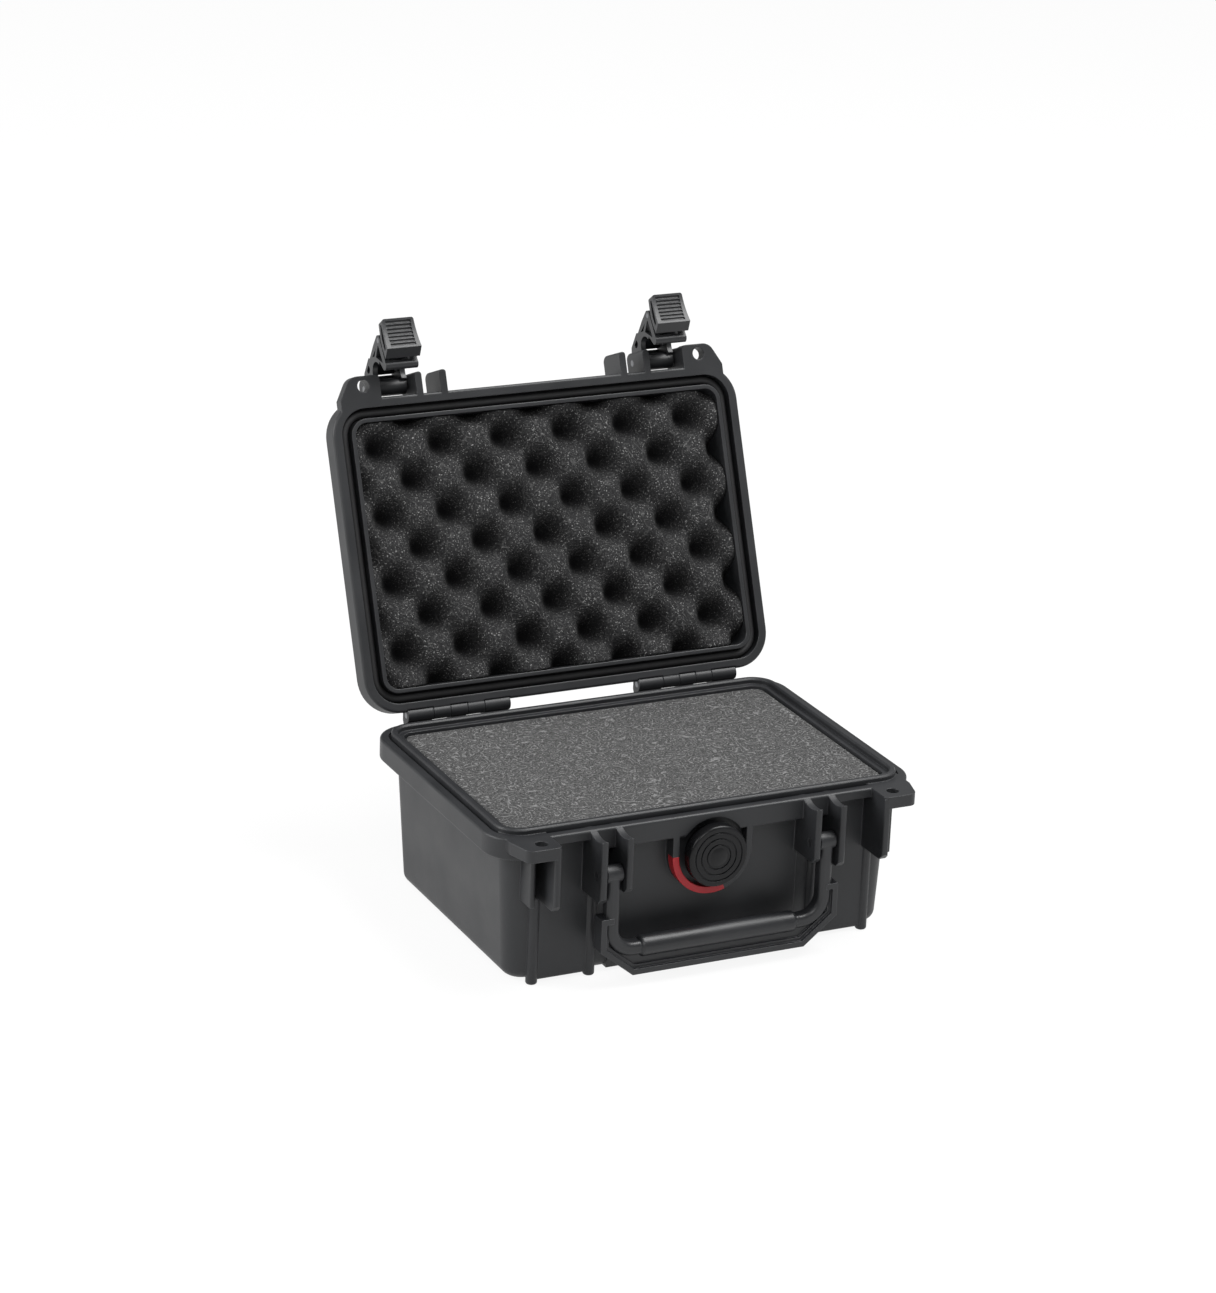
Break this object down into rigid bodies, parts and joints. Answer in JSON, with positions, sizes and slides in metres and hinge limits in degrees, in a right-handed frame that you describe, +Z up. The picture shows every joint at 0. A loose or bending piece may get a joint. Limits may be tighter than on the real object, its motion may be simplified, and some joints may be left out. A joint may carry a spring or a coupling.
{
  "type": "protective case",
  "caption": "Hard protective case with a hinged lid, toggle latches, folding carry handle, air valve and foam lining.",
  "frame": {"origin": "middle of the flat underside, on the floor", "axes": "+X to the right along the front, +Y from the front to the hinges, +Z up"},
  "size_m": [0.206, 0.2319, 0.2464],
  "materials": {
    "shell": "fine moulded texture",
    "handle": "smooth moulded",
    "latch": "smooth moulded",
    "valve": "satin",
    "red_ring": "satin",
    "membrane": "matte",
    "seal": "satin",
    "lid_foam": "open-cell foam",
    "base_foam": "open-cell foam",
    "pin_steel": "plain"
  },
  "bodies": {
    "base": {"base_shell": "shell", "base_foam_pad": "base_foam", "base_foam_block": "base_foam", "hinge_pin_left": "pin_steel", "hinge_pin_right": "pin_steel", "handle_pin_left": "pin_steel", "handle_pin_right": "pin_steel", "valve_body": "valve", "valve_gasket": "seal", "valve_membrane": "membrane", "valve_cap": "valve", "valve_nut": "valve", "valve_seat_ring": "red_ring"},
    "lid": {"lid_shell": "shell", "lid_seal": "seal", "lid_foam": "lid_foam", "latch_arm_pin_left": "pin_steel", "latch_arm_pin_right": "pin_steel"},
    "handle": {"carry_handle": "handle"},
    "arm_left": {"latch_arm_left": "latch", "latch_lever_pin_left": "pin_steel"},
    "lever_left": {"latch_lever_left": "latch"},
    "arm_right": {"latch_arm_right": "latch", "latch_lever_pin_right": "pin_steel"},
    "lever_right": {"latch_lever_right": "latch"}
  },
  "joints": [
    {"name": "lid_hinge", "type": "hinge", "parent": "base", "child": "lid", "pos_m": [0, 0.0734, 0.0749], "axis": [1, 0, 0], "range_deg": [0, 111.8]},
    {"name": "handle_swing", "type": "hinge", "parent": "base", "child": "handle", "pos_m": [0, -0.079, 0.0534], "axis": [-1, 0, 0], "range_deg": [0, 105]},
    {"name": "arm_swing_left", "type": "hinge", "parent": "lid", "child": "arm_left", "pos_m": [-0.0684, 0.13826, 0.21094], "axis": [1, 0, 0], "range_deg": [-30, 41]},
    {"name": "lever_throw_left", "type": "hinge", "parent": "arm_left", "child": "lever_left", "pos_m": [-0.0684, 0.1324, 0.23548], "axis": [-1, 0, 0], "range_deg": [0, 115]},
    {"name": "arm_swing_right", "type": "hinge", "parent": "lid", "child": "arm_right", "pos_m": [0.0684, 0.13826, 0.21094], "axis": [1, 0, 0], "range_deg": [-30, 41]},
    {"name": "lever_throw_right", "type": "hinge", "parent": "arm_right", "child": "lever_right", "pos_m": [0.0684, 0.1324, 0.23548], "axis": [-1, 0, 0], "range_deg": [0, 115]}
  ]
}
